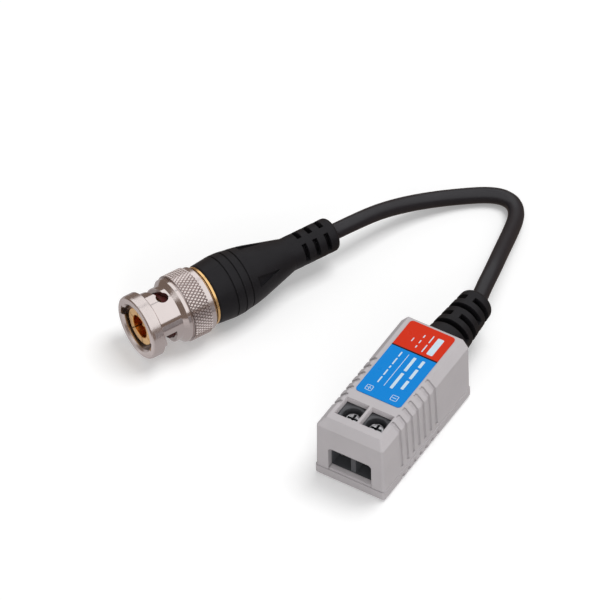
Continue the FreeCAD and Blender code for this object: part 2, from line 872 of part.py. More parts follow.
# Outer contact: slotted front sleeve, collar inside the nut, hub, rear flange and crimp tail
collar_start = nut_shoulder + collar_gap
collar_end = collar_start + collar_length
flange_start = nut_length + rear_flange_gap
flange_end = flange_start + rear_flange_thickness
tail_end = flange_end + tail_length
bore_end = contact_recess + bore_depth
contact_slot_end = contact_recess + contact_slot_length
contact_step = contact_slot_end - contact_step_gap
contact_profile = [
    (contact_recess, contact_bore_radius + contact_edge),
    (contact_recess, contact_radius - contact_edge),
    (contact_recess + contact_edge, contact_radius),
    (contact_step, contact_radius),
    (contact_step, contact_seat_radius),
    (collar_start, contact_seat_radius),
    (collar_start, collar_radius),
    (collar_end, collar_radius),
    (collar_end, hub_radius),
    (flange_start, hub_radius),
    (flange_start, rear_flange_radius),
    (flange_end, rear_flange_radius),
    (flange_end, tail_radius),
    (tail_end, tail_radius),
    (tail_end, tail_bore_radius),
    (bore_end, tail_bore_radius),
    (bore_end, contact_bore_radius),
    (contact_recess + contact_edge, contact_bore_radius),
]
contact = turned(contact_profile)
contact_slots = []
for number in range(contact_slot_count):
    slot = box(
        0, contact_slot_end,
        -contact_slot_width / 2, contact_slot_width / 2, contact_bore_radius - 0.5, contact_radius + 0.5
    )
    contact_slots.append(turn_about_axis(slot, contact_slot_angle + number * 360 / contact_slot_count))
contact_sleeve = contact.cut(contact_slots)

# Gasket round the root of the sleeve, and the sprung washer that carries the nut
gasket = ring(collar_start - gasket_length, collar_start, contact_seat_radius + gasket_gap, gasket_radius)
washer_end = nut_length - nut_lip_thickness - washer_gap
washer_start = washer_end - washer_thickness
thrust_washer = ring(washer_start, washer_end, washer_bore_radius, washer_radius)

# Curved spring washer: a bent sheet trimmed to a ring, crown on the collar, ends on the washer
spring_height = washer_start - collar_end - 2 * spring_gap
spring_rise = spring_height - spring_thickness
spring_bend = (spring_radius ** 2 + spring_rise ** 2) / (2 * spring_rise)
bend_centre = collar_end + spring_gap + spring_bend + spring_thickness
sheet_start = V(bend_centre, -2 * spring_radius, 0)
sheet_outer = Part.makeCylinder(spring_bend + spring_thickness, 4 * spring_radius, sheet_start, V(0, 1, 0))
sheet_inner = Part.makeCylinder(spring_bend, 4 * spring_radius, sheet_start, V(0, 1, 0))
spring_washer = sheet_outer.cut(sheet_inner).common(
    ring(collar_end, washer_start - spring_gap, spring_bore_radius, spring_radius)
)

# Insulator and centre pin
insulator_start = contact_recess + insulator_depth
pin_collar_start = bore_end - pin_collar_length
insulator_bore = pin_root_radius + insulator_gap
insulator = turned([
    (insulator_start, insulator_bore),
    (insulator_start, contact_bore_radius - insulator_gap),
    (bore_end, contact_bore_radius - insulator_gap),
    (bore_end, pin_collar_radius + insulator_gap),
    (pin_collar_start, pin_collar_radius + insulator_gap),
    (pin_collar_start, insulator_bore),
])
pin_end = bore_end + pin_tail_length
centre_pin = turned([
    (pin_recess, 0),
    (pin_recess, pin_radius * 0.35),
    (pin_recess + 0.15, pin_radius * 0.7),
    (pin_recess + 0.5, pin_radius),
    (insulator_start - pin_step_gap, pin_radius),
    (insulator_start - pin_step_gap, pin_root_radius),
    (pin_collar_start + insulator_gap, pin_root_radius),
    (pin_collar_start + insulator_gap, pin_collar_radius),
    (pin_end, pin_collar_radius),
    (pin_end, 0),
])

# Crimp ferrule over the tail, inside the boot
ferrule_start = flange_end + ferrule_setback
ferrule_inner = tail_radius + ferrule_gap
ferrule_outer = ferrule_inner + ferrule_wall
ferrule_end = ferrule_start + ferrule_length
crimp_ferrule = ring(ferrule_start, ferrule_end, ferrule_inner, ferrule_outer)

# Moulded boot: a grip of tapering bands between three grooves, a round shoulder, a cone and a slotted relief
boot_start = flange_end + boot_gap
grip_bands = list(zip(boot_groove_stations, boot_band_radii))
grip_outline = [
    V(boot_start, 0, boot_front_radius - boot_edge),
    V(boot_start + boot_edge, 0, boot_front_radius),
]
grip_outline += [V(station, 0, radius) for station, radius in grip_bands]
shoulder_arc = Part.Arc(
    grip_outline[-1],
    V(boot_shoulder_middle, 0, boot_shoulder_middle_radius),
    V(boot_shoulder_end, 0, boot_shoulder_end_radius),
)
tail_outline = [
    V(boot_shoulder_end, 0, boot_shoulder_end_radius),
    V(boot_relief_start, 0, boot_relief_radius),
    V(plug_length, 0, boot_relief_radius),
    V(plug_length, 0, 0),
    V(boot_start, 0, 0),
    grip_outline[0],
]
boot_edges = Part.makePolygon(grip_outline).Edges + [shoulder_arc.toShape()]
boot_edges += Part.makePolygon(tail_outline).Edges
boot = Part.Face(Part.Wire(boot_edges)).revolve(V(0, 0, 0), V(1, 0, 0), 360)
end_rim = edges_of(boot, lambda extent: extent.XMin > plug_length - tiny and extent.ZLength > tiny)
boot = boot.makeFillet(boot_end_radius, end_rim)

boot_cuts = []
for station, surface in grip_bands:
    start = station - boot_groove_width / 2
    end = station + boot_groove_width / 2
    boot_cuts.append(ring(start, end, surface - boot_groove_depth, surface + 1))
boot_webs = [boot_web_angle + 90 * number for number in range(4)]
for station in boot_slot_stations:
    boot_cuts.append(slot_ring(station, boot_slot_width, boot_core_radius, boot_relief_radius + 1, boot_webs))
dart_corners = [V(0, -dart_width / 2, 0), V(dart_length, 0, -dart_rise), V(0, dart_width / 2, 0)]
for web in boot_webs:
    dart = prism(dart_corners, V(dart_start, 0, dart_floor_radius), V(0, 0, boot_front_radius / 2))
    boot_cuts.append(turn_about_axis(dart, web + 45))
pocket_length = ferrule_end + ferrule_end_gap - boot_start
boot_cuts.append(
    Part.makeCylinder(ferrule_outer + ferrule_gap, pocket_length + 1, V(boot_start - 1, 0, 0), V(1, 0, 0))
)
connector_boot = boot.cut(boot_cuts)

pieces = {
    "housing_shell": housing_shell,
    "housing_base": housing_base,
    "label": label,
    "circuit_board": circuit_board,
    "transformer_core": transformer_core,
    "transformer_winding": transformer_winding,
    "surge_suppressor": surge_suppressor,
    "chip_capacitor": chip_capacitor,
    "chip_resistor": chip_resistor,
    "terminal_block": terminal_block,
    "terminal_pin_left": terminal_pin(pole_centres["left"]),
    "terminal_pin_right": terminal_pin(pole_centres["right"]),
    "clamp_cage_left": clamp_cage(pole_centres["left"]),
    "clamp_cage_right": clamp_cage(pole_centres["right"]),
    "terminal_screw_left": terminal_screw(pole_centres["left"]),
    "terminal_screw_right": terminal_screw(pole_centres["right"]),
    "signal_lead": lead_pieces["signal_lead"],
    "screen_lead": lead_pieces["screen_lead"],
    "cable_relief": cable_relief,
    "cable": cable,
    "connector_boot": on_plug(connector_boot),
    "coupling_nut": on_plug(coupling_nut),
    "contact_sleeve": on_plug(contact_sleeve),
    "centre_pin": on_plug(centre_pin),
    "insulator": on_plug(insulator),
    "gasket": on_plug(gasket),
    "thrust_washer": on_plug(thrust_washer),
    "spring_washer": on_plug(spring_washer),
    "crimp_ferrule": on_plug(crimp_ferrule),
}

for name, shape in pieces.items():
    solid = one_solid(shape)
    extent = solid.BoundBox
    print(
        name, "solids", len(solid.Solids), "valid", solid.isValid(), "volume", round(solid.Volume, 2),
        "x %.2f..%.2f y %.2f..%.2f z %.2f..%.2f" % (
            extent.XMin, extent.XMax, extent.YMin, extent.YMax, extent.ZMin, extent.ZMax
        )
    )
    solid.exportStep("parts/" + name + ".step")
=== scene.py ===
import json
import math

import bpy
from mathutils import Matrix, Vector


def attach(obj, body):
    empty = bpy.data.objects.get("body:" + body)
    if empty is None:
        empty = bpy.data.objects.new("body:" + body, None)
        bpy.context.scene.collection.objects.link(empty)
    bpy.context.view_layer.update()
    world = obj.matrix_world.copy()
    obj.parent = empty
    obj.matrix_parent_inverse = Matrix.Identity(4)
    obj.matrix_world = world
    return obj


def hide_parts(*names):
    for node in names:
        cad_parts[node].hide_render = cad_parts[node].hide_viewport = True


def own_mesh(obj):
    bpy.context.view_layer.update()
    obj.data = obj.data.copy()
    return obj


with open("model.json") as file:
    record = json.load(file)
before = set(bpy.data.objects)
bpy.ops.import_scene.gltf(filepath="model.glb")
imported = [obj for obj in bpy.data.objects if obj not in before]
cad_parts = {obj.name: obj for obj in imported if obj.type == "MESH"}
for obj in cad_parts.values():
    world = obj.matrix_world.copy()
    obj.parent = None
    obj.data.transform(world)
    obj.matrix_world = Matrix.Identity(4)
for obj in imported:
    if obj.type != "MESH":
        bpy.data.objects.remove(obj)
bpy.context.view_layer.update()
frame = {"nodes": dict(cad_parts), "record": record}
nodes = frame["nodes"]
MM = 0.001


# Camera at the photograph's angle
camera_location = (0.5669, -0.9283, 1.1717)
camera_azimuth = 32.36
camera_elevation = 46.16
camera_roll = -1.42
camera_lens = 480


def camera_turn():
    """Columns right, up and back of a camera that looks down on the part from the front."""
    azimuth, elevation, roll = (
        math.radians(angle) for angle in (camera_azimuth, camera_elevation, camera_roll)
    )
    right = Vector((math.cos(azimuth), math.sin(azimuth), 0))
    up = Vector((
        -math.sin(azimuth) * math.sin(elevation), math.cos(azimuth) * math.sin(elevation), math.cos(elevation)
    ))
    rolled_right = right * math.cos(roll) + up * math.sin(roll)
    rolled_up = up * math.cos(roll) - right * math.sin(roll)
    return Matrix((rolled_right, rolled_up, right.cross(up))).transposed()


camera_data = bpy.data.cameras.new("camera")
camera_data.lens = camera_lens
camera_data.sensor_width = 36
camera_data.clip_start = 0.1
camera_data.clip_end = 50
camera = bpy.data.objects.new("camera", camera_data)
camera.matrix_world = Matrix.Translation(camera_location) @ camera_turn().to_4x4()
bpy.context.scene.collection.objects.link(camera)
bpy.context.scene.camera = camera


# The plug's own axes: X along it from the front face, Z up
plug_face = Vector((-55.98, -7.21, 7.25)) * MM
plug_direction = math.radians(64.86)
plug_frame = Matrix.Translation(plug_face) @ Matrix.Rotation(plug_direction, 4, "Z")


def link(name, data):
    piece = bpy.data.objects.new(name, data)
    bpy.context.scene.collection.objects.link(piece)
    return piece


def mesh_piece(name, points, faces):
    mesh = bpy.data.meshes.new(name)
    mesh.from_pydata([tuple(point) for point in points], [], faces)
    mesh.update()
    return link(name, mesh)


# Materials. A texture's scale is in features per metre, a depth or an edge in metres.
mould_clouds = 160
mould_sheen = 400
metal_clouds = 220
metal_sheen = 500
handling_scale = 2600
turning_scale = (9000, 350, 350)
turning_depth = 0.000003


def new_material(name, colour, roughness, metallic=0.0, **settings):
    """A named surface with its even values set on the shader's own sockets."""
    material = bpy.data.materials.new(name)
    material.use_nodes = True
    shader = material.node_tree.nodes["Principled BSDF"]
    shader.inputs["Base Color"].default_value = (*colour, 1)
    shader.inputs["Roughness"].default_value = roughness
    shader.inputs["Metallic"].default_value = metallic
    for socket, value in settings.items():
        shader.inputs[socket.replace("_", " ")].default_value = value
    return material, material.node_tree, shader


def object_coordinates(tree, location=(0, 0, 0), turn=0.0, scale=(1, 1, 1)):
    coordinates = tree.nodes.new("ShaderNodeTexCoord")
    mapping = tree.nodes.new("ShaderNodeMapping")
    mapping.inputs["Location"].default_value = location
    mapping.inputs["Rotation"].default_value = (0, 0, turn)
    mapping.inputs["Scale"].default_value = scale
    tree.links.new(coordinates.outputs["Object"], mapping.inputs["Vector"])
    return mapping.outputs["Vector"]


def plug_coordinates(tree, scale=(1, 1, 1)):
    """Object coordinates turned to the plug's own axes: X is the station from its front face."""
    offset = Matrix.Rotation(-plug_direction, 4, "Z") @ -plug_face
    turned = object_coordinates(tree, location=tuple(offset), turn=-plug_direction)
    stretch = tree.nodes.new("ShaderNodeVectorMath")
    stretch.operation = "MULTIPLY"
    stretch.inputs[1].default_value = scale
    tree.links.new(turned, stretch.inputs[0])
    return stretch.outputs["Vector"]


def along_axis(tree, vector, name):
    """One of a vector's coordinates: X, Y or Z."""
    node = tree.nodes.new("ShaderNodeSeparateXYZ")
    tree.links.new(vector, node.inputs["Vector"])
    return node.outputs[name]


def vector_length(tree, vector):
    node = tree.nodes.new("ShaderNodeVectorMath")
    node.operation = "LENGTH"
    tree.links.new(vector, node.inputs[0])
    return node.outputs["Value"]


def map_range(tree, value, low, high):
    """0 at low and 1 at high, held beyond them."""
    node = tree.nodes.new("ShaderNodeMapRange")
    node.inputs["From Min"].default_value = low
    node.inputs["From Max"].default_value = high
    tree.links.new(value, node.inputs["Value"])
    return node.outputs["Result"]


def combine(tree, operation, first, second):
    """A Math node over two values, each a socket or a number."""
    node = tree.nodes.new("ShaderNodeMath")
    node.operation = operation
    for socket, value in zip(node.inputs, (first, second)):
        if isinstance(value, float):
            socket.default_value = value
        else:
            tree.links.new(value, socket)
    return node.outputs[0]


def noise(tree, vector, scale, detail=3.0):
    node = tree.nodes.new("ShaderNodeTexNoise")
    node.inputs["Scale"].default_value = scale
    node.inputs["Detail"].default_value = detail
    node.inputs["Roughness"].default_value = 0.55
    tree.links.new(vector, node.inputs["Vector"])
    return node.outputs["Fac"]


def ramp(tree, factor, stops):
    node = tree.nodes.new("ShaderNodeValToRGB")
    elements = node.color_ramp.elements
    while len(elements) < len(stops):
        elements.new(0.5)
    for element, (position, colour) in zip(elements, stops):
        element.position = position
        element.color = (*colour, 1)
    tree.links.new(factor, node.inputs["Fac"])
    return node.outputs["Color"]


def stops_in_mm(span, stops):
    """Stops of a ramp, given in millimetres, as parts of the span that the ramp covers."""
    return [(place / span, colour) for place, colour in stops]


def colour_mix(tree, factor, first, second):
    """Mix node with its colour sockets picked by place, as the node has several called A and B."""
    node = tree.nodes.new("ShaderNodeMix")
    node.data_type = "RGBA"
    tree.links.new(factor, node.inputs[0])
    for socket, colour in ((node.inputs[6], first), (node.inputs[7], second)):
        if isinstance(colour, tuple):
            socket.default_value = (*colour, 1)
        else:
            tree.links.new(colour, socket)
    return node.outputs[2]


def grey(value):
    return (value, value, value)


def bump(tree, height, distance, normal=None):
    node = tree.nodes.new("ShaderNodeBump")
    node.inputs["Distance"].default_value = distance
    tree.links.new(height, node.inputs["Height"])
    if normal is not None:
        tree.links.new(normal, node.inputs["Normal"])
    return node.outputs["Normal"]


def soft_edges(tree, radius):
    node = tree.nodes.new("ShaderNodeBevel")
    node.samples = 6
    node.inputs["Radius"].default_value = radius
    return node.outputs["Normal"]


def mottle(tree, vector, scale, first, second):
    """Soft clouds of two colours."""
    return ramp(tree, noise(tree, vector, scale), [(0.3, first), (0.7, second)])


def darker(colour, part):
    return tuple(channel * (1 - part) for channel in colour)


def vary_colour(tree, shader, vector, scale, colour, spread):
    """Slight mottling round a colour, as moulded and plated surfaces have."""
    light = tuple(min(1, channel * (1 + spread)) for channel in colour)
    mottled = mottle(tree, vector, scale, darker(colour, spread), light)
    tree.links.new(mottled, shader.inputs["Base Color"])


def vary_roughness(tree, shader, vector, scale, low, high):
    tree.links.new(mottle(tree, vector, scale, grey(low), grey(high)), shader.inputs["Roughness"])


def set_normal(tree, shader, height, depth, edge=None):
    """Relief of that depth, over edges softened by that radius."""
    edges = soft_edges(tree, edge) if edge else None
    tree.links.new(bump(tree, height, depth, edges), shader.inputs["Normal"])


def turning_marks(tree):
    """Fine rings round the plug's axis, as a lathe leaves them."""
    rings = object_coordinates(tree, turn=-plug_direction, scale=turning_scale)
    return noise(tree, rings, 1.0, 2.0)


def moulded(name, colour, roughness, grain_scale, grain_depth, edge=None, spread=0.03, **settings):
    """Moulded plastic or rubber: fine spark grain, slight mottling, edges softened by the mould."""
    material, tree, shader = new_material(name, colour, roughness, **settings)
    vector = object_coordinates(tree)
    vary_colour(tree, shader, vector, mould_clouds, colour, spread)
    vary_roughness(tree, shader, vector, mould_sheen, roughness - 0.04, roughness + 0.04)
    set_normal(tree, shader, noise(tree, vector, grain_scale), grain_depth, edge)
    return material


def plated(name, colour, roughness):
    """Plated metal with plain handling marks."""
    material, tree, shader = new_material(name, colour, roughness, metallic=1.0)
    vector = object_coordinates(tree)
    vary_colour(tree, shader, vector, metal_clouds, colour, 0.03)
    vary_roughness(tree, shader, vector, metal_sheen, roughness * 0.75, roughness * 1.35)
    set_normal(tree, shader, noise(tree, vector, handling_scale), 0.000004)
    return material


housing_colour = (0.50, 0.472, 0.485)
black_colour = (0.0105, 0.0098, 0.0115)
nickel_colour = (0.78, 0.70, 0.68)
gold_colour = (1.0, 0.64, 0.28)
materials = {
    "housing_plastic": moulded("housing_plastic", housing_colour, 0.46, 5200, 0.000006, edge=0.00028),
    "terminal_grey": moulded("terminal_grey", (0.09, 0.092, 0.1), 0.38, 4200, 0.000006, edge=0.00012),
    "board_laminate": moulded("board_laminate", (0.012, 0.095, 0.035), 0.33, 900, 0.00001, spread=0.12),
    "ferrite": moulded("ferrite", (0.05, 0.05, 0.055), 0.6, 3000, 0.00002, edge=0.0002, spread=0.15),
    "component_black": moulded("component_black", (0.02, 0.02, 0.021), 0.45, 4000, 0.000008, edge=0.0001),
    "ceramic_tan": moulded("ceramic_tan", (0.4, 0.26, 0.13), 0.4, 4000, 0.000006, edge=0.0001),
    "lead_white": moulded("lead_white", (0.8, 0.8, 0.77), 0.35, 2500, 0.000006),
    "moulding_black": moulded(
        "moulding_black", black_colour, 0.46, 4200, 0.000008, edge=0.00018, spread=0.1, Specular_IOR_Level=0.2
    ),
    "cable_black": moulded("cable_black", (0.0125, 0.0112, 0.0142), 0.38, 3800, 0.000006, spread=0.1),
    "insulator_plastic": moulded("insulator_plastic", (0.75, 0.73, 0.67), 0.32, 2500, 0.000005),
    "gasket_red": moulded(
        "gasket_red", (0.06, 0.006, 0.005), 0.3, 2500, 0.00001, edge=0.0001, spread=0.1,
        Specular_IOR_Level=0.2
    ),
    "tinned_brass": plated("tinned_brass", (0.62, 0.62, 0.60), 0.34),
    "spring_steel": plated("spring_steel", (0.55, 0.54, 0.52), 0.3),
}

# Zones of the nut: its length in millimetres, its front face, the edge of its bore and its knurl
nut_span = 16
nut_face = (0.45 * MM, 0.35 * MM)
bore_edge = (5.66 * MM, 5.72 * MM)
knurl_depth = (6.99 * MM, 7.19 * MM)
# Painted shade: the darker nickel of the nut's bore
bore_shade_tone = (0.5, 0.44, 0.42)
# Grime and painted shade: the knurl's valleys darker towards their foot
valley_grime_and_shade_tones = [(0.0, (0.34, 0.29, 0.28)), (0.5, (0.7, 0.625, 0.61)), (1.0, nickel_colour)]


def nut_plating():
    """Bright nickel on the turned nut: a polished neck between satin bands, painted shade in the bore, and
    grime and painted shade in the knurl's valleys.
    """
    material, tree, shader = new_material("nickel_bright", nickel_colour, 0.2, metallic=1.0)
    from_face = along_axis(tree, plug_coordinates(tree), "X")
    station = map_range(tree, from_face, 0, nut_span * MM)
    finish = ramp(tree, station, stops_in_mm(nut_span, [
        (0, grey(0.24)), (2.6, grey(0.24)), (2.8, grey(0.12)), (7.7, grey(0.10)),
        (8.0, grey(0.11)), (9.5, grey(0.16)), (14.0, grey(0.24)), (16, grey(0.22)),
    ]))
    tree.links.new(finish, shader.inputs["Roughness"])
    radius = vector_length(tree, plug_coordinates(tree, scale=(0, 1, 1)))
    in_knurl = ramp(tree, station, stops_in_mm(nut_span, [
        (9.5, grey(0)), (9.7, grey(1)), (13.9, grey(1)), (14.05, grey(0)),
    ]))
    grimy_shaded_valleys = ramp(tree, map_range(tree, radius, *knurl_depth), valley_grime_and_shade_tones)
    clouds = mottle(
        tree, object_coordinates(tree), metal_clouds, darker(nickel_colour, 0.05), nickel_colour
    )
    on_face = map_range(tree, from_face, *nut_face)
    outside = combine(tree, "MAXIMUM", on_face, map_range(tree, radius, *bore_edge))
    plain = colour_mix(tree, outside, bore_shade_tone, clouds)
    tree.links.new(colour_mix(tree, in_knurl, plain, grimy_shaded_valleys), shader.inputs["Base Color"])
    set_normal(tree, shader, turning_marks(tree), turning_depth)
    return material


# Heights of the screw heads, and the tones from below the head, through its recess, to its top: the dark
# tones in the recess are painted shade
head_top = 12.95 * MM
recess_floor = 12.25 * MM
tone_start = recess_floor - 0.7 * MM
under_head = (recess_floor - 0.1 * MM, recess_floor - 0.2 * MM)
zinc_colour = (0.76, 0.77, 0.79)
scuff_colour = (0.2, 0.205, 0.215)
head_recess_shade_tones = [
    (0.45, zinc_colour), (0.48, (0.07, 0.072, 0.078)), (0.88, (0.22, 0.225, 0.235)), (0.985, zinc_colour),
]


def screw_plating():
    """Zinc-bright clamp screws and cages, with scuffed heads and painted shade down in the cross recess."""
    material, tree, shader = new_material("nickel_plate", zinc_colour, 0.22, metallic=1.0)
    vector = object_coordinates(tree)
    height = along_axis(tree, vector, "Z")
    # Painted shade: dark down in the cross recess, lighter towards the head's top
    tone = ramp(tree, map_range(tree, height, tone_start, head_top), head_recess_shade_tones)
    scuffs = ramp(tree, noise(tree, vector, 2400, 2.0), [(0.42, grey(0.3)), (0.56, grey(1))])
    clean = combine(tree, "MAXIMUM", scuffs, map_range(tree, height, *under_head))
    scuffs_and_shade = colour_mix(tree, clean, scuff_colour, tone)
    tree.links.new(scuffs_and_shade, shader.inputs["Base Color"])
    vary_roughness(tree, shader, vector, 900, 0.14, 0.34)
    set_normal(tree, shader, noise(tree, vector, handling_scale), 0.00003, 0.00008)
    return material


# The radius that the gold's ramp covers, in millimetres, and the painted shade of the gold inside the sleeve
sleeve_span = 8
# Painted shade and reflection: the deeper gold inside the sleeve
bore_gold_shade = (0.95, 0.42, 0.09)


def gold_plating():
    """Gold on the contacts, with a deeper tone painted inside the sleeve for its shade and for the gold
    mirroring itself there.
    """
    material, tree, shader = new_material("gold_plate", gold_colour, 0.24, metallic=1.0)
    vector = object_coordinates(tree)
    from_axis = vector_length(tree, plug_coordinates(tree, scale=(0, 1, 1)))
    in_bore = ramp(tree, map_range(tree, from_axis, 0, sleeve_span * MM), stops_in_mm(sleeve_span, [
        (2.2, grey(0)), (2.3, grey(1)), (2.56, grey(1)), (2.62, grey(0)),
    ]))
    plain = mottle(tree, vector, metal_clouds, darker(gold_colour, 0.06), gold_colour)
    tree.links.new(colour_mix(tree, in_bore, plain, bore_gold_shade), shader.inputs["Base Color"])
    vary_roughness(tree, shader, vector, metal_sheen, 0.18, 0.32)
    set_normal(tree, shader, turning_marks(tree), turning_depth, 0.00005)
    return material


# Two opposite corners, in millimetres, round the walls of the screw windows and the sill of the wire window
screw_windows = ((-5.42, -13.4, 13.0), (5.42, -8.4, 15.5))
wire_sill = ((-4.88, -16.62, 3.0), (4.88, -15.0, 4.0))
window_margin = 0.05
# Painted light: the lighter tone of those walls and that sill
lit_wall = (0.80, 0.752, 0.768)


def inside_box(tree, vector, low, high):
    """1 inside the box and 0 beyond its margin."""
    inside = 1.0
    for name, start, end in zip("XYZ", low, high):
        place = along_axis(tree, vector, name)
        past_start = map_range(tree, place, (start - window_margin) * MM, start * MM)
        before_end = map_range(tree, place, (end + window_margin) * MM, end * MM)
        inside = combine(tree, "MINIMUM", combine(tree, "MINIMUM", past_start, before_end), inside)
    return inside


def light_window_walls(material):
    """Painted light: a lighter tone on the walls of the windows, for the light that the housing's plastic
    lets through to them.
    """
    tree = material.node_tree
    base_colour = tree.nodes["Principled BSDF"].inputs["Base Color"]
    mottled = base_colour.links[0].from_socket
    vector = object_coordinates(tree)
    in_window = combine(
        tree, "MAXIMUM", inside_box(tree, vector, *screw_windows), inside_box(tree, vector, *wire_sill)
    )
    tree.links.new(colour_mix(tree, in_window, mottled, lit_wall), base_colour)


light_window_walls(materials["housing_plastic"])
materials["nickel_bright"] = nut_plating()
materials["gold_plate"] = gold_plating()
materials["nickel_plate"] = screw_plating()

# Enamelled wire bundle: fine strands along the winding
strand_tones = [(0.35, (0.2, 0.06, 0.02)), (0.65, (0.55, 0.22, 0.08))]
winding, tree, shader = new_material("winding_enamel", (0.45, 0.16, 0.05), 0.3, metallic=1.0)
strands = noise(tree, object_coordinates(tree, scale=(5500, 300, 5500)), 1.0, 1.0)
tree.links.new(ramp(tree, strands, strand_tones), shader.inputs["Base Color"])
set_normal(tree, shader, strands, 0.00004)
materials["winding_enamel"] = winding

# Printed label film: a red field behind, a blue field in front and a black rule between them
label_red = (0.62, 0.028, 0.006)
label_blue = (0.002, 0.225, 0.66)
label_black = (0.006, 0.006, 0.007)
rule_start = 8.25 * MM
rule_end = 8.62 * MM
film, tree, shader = new_material("label_film", label_blue, 0.3, Specular_IOR_Level=0.15)
vector = object_coordinates(tree)
from_front = along_axis(tree, vector, "Y")
past_blue = combine(tree, "GREATER_THAN", from_front, rule_start)
past_rule = combine(tree, "GREATER_THAN", from_front, rule_end)
front_fields = colour_mix(tree, past_blue, label_blue, label_black)
fields = colour_mix(tree, past_rule, front_fields, label_red)
tree.links.new(fields, shader.inputs["Base Color"])
vary_roughness(tree, shader, vector, 500, 0.26, 0.36)
set_normal(tree, shader, noise(tree, vector, 900), 0.0000005)
materials["label_film"] = film

# Print on the label, a slightly blue white
print_colour = (0.58, 0.71, 0.80)
ink, tree, shader = new_material("print_white", print_colour, 0.32)
vector = object_coordinates(tree)
vary_colour(tree, shader, vector, 700, print_colour, 0.05)
set_normal(tree, shader, noise(tree, vector, 3000), 0.000003)

# Every CAD node takes the finish of its slot
for subpart in frame["record"]["subparts"]:
    node = nodes[subpart["node"]]
    surface = materials[subpart["material_slot"]]
    node.data.materials.clear()
    node.data.materials.append(surface)


# Lead: the route's points, in millimetres
cable_route = [
    (0.270, 32.339, 8.160), (-0.9, 36.5, 7.9), (-2.2, 43.0, 7.6), (-4.1, 49.6, 6.0), (-6.3, 57.2, 3.8),
    (-8.2, 63.0, 2.3), (-10.6, 66.2, 1.8), (-13.6, 66.9, 1.8), (-16.9, 65.7, 1.8), (-20.8, 62.8, 1.9),
    (-25.0, 58.3, 2.8), (-28.6, 53.1, 4.1), (-31.4, 47.0, 5.9), (-33.634, 40.407, 7.25),
    (-35.843, 35.700, 7.25),
]
cable_radius = 1.7 * MM
curve = bpy.data.curves.new("lead", "CURVE")
curve.dimensions = "3D"
curve.bevel_depth = cable_radius
curve.bevel_resolution = 8
curve.resolution_u = 14
curve.use_fill_caps = True
spline = curve.splines.new("NURBS")
spline.points.add(len(cable_route) - 1)
for point, place in zip(spline.points, cable_route):
    point.co = (*(Vector(place) * MM), 1)
spline.order_u = 3
spline.use_endpoint_u = True
lead = link("lead", curve)
lead.data.materials.append(materials["cable_black"])
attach(lead, "balun")
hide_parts("cable")


# Knurl of the coupling nut, in millimetres: rows of small cut-off pyramids round its grip, the end rows
# halved. Half the diagonal of a pyramid's foot and top is given as a part of the pitch.
knurl_start = 9.75
knurl_length = 4.1
knurl_foot_radius = 6.98
knurl_top_radius = 7.2
knurl_count = 60
knurl_rows = 8
knurl_foot_reach = 0.485
knurl_top_reach = 0.27


def knurl_piece():
    points = []
    faces = []
    row_pitch = knurl_length / (knurl_rows - 1)
    knurl_end = knurl_start + knurl_length
    for row in range(knurl_rows):
        station = knurl_start + row_pitch * row
        for number in range(knurl_count):
            angle = 2 * math.pi * (number + 0.5 * (row % 2)) / knurl_count
            first = len(points)
            for radius, reach in (
                (knurl_foot_radius, knurl_foot_reach), (knurl_top_radius, knurl_top_reach)
            ):
                reach_round = reach * 2 * math.pi / knurl_count
                reach_along = reach * row_pitch * 2
                for along, round_it in ((-1, 0), (0, 1), (1, 0), (0, -1)):
                    turn = angle + round_it * reach_round
                    place = min(knurl_end, max(knurl_start, station + along * reach_along))
                    local = Vector((place * MM, -radius * MM * math.sin(turn), radius * MM * math.cos(turn)))
                    points.append(plug_frame @ local)
            faces.append((first + 4, first + 5, first + 6, first + 7))
            for side in range(4):
                after = (side + 1) % 4
                faces.append((first + side, first + after, first + 4 + after, first + 4 + side))
    return mesh_piece("nut_knurl", points, faces)


knurl = knurl_piece()
knurl.data.materials.append(materials["nickel_bright"])
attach(knurl, "nut")


# Curved spring washer behind the collar, in millimetres: a bent ring
spring_start = 11.92
spring_thickness = 0.3
spring_bore_radius = 4.75
spring_radius = 5.95
spring_bend_radius = 11.493
spring_sides = 96


def spring_piece():
    points = []
    faces = []
    back_bend = spring_bend_radius
    front_bend = spring_bend_radius + spring_thickness
    bend_centre = spring_start + front_bend
    for number in range(spring_sides):
        angle = 2 * math.pi * number / spring_sides
        for ring_radius, bend in (
            (spring_radius, front_bend), (spring_radius, back_bend),
            (spring_bore_radius, back_bend), (spring_bore_radius, front_bend),
        ):
            across = -ring_radius * math.sin(angle)
            up = ring_radius * math.cos(angle)
            station = bend_centre - math.sqrt(bend ** 2 - up ** 2)
            points.append(plug_frame @ (Vector((station, across, up)) * MM))
        first = 4 * number
        after = 4 * ((number + 1) % spring_sides)
        for side in range(4):
            beside = (side + 1) % 4
            faces.append((first + side, after + side, after + beside, first + beside))
    return mesh_piece("spring_washer_bent", points, faces)


spring = spring_piece()
spring.data.materials.append(materials["spring_steel"])
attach(spring, "balun")
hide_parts("spring_washer")
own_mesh(spring)


# Print on the label, in millimetres: plain bars and a thin rule that run along it, and the two pole signs
label_top = 15.75
print_sink = 0.02
print_height = 0.003
corner_steps = 4
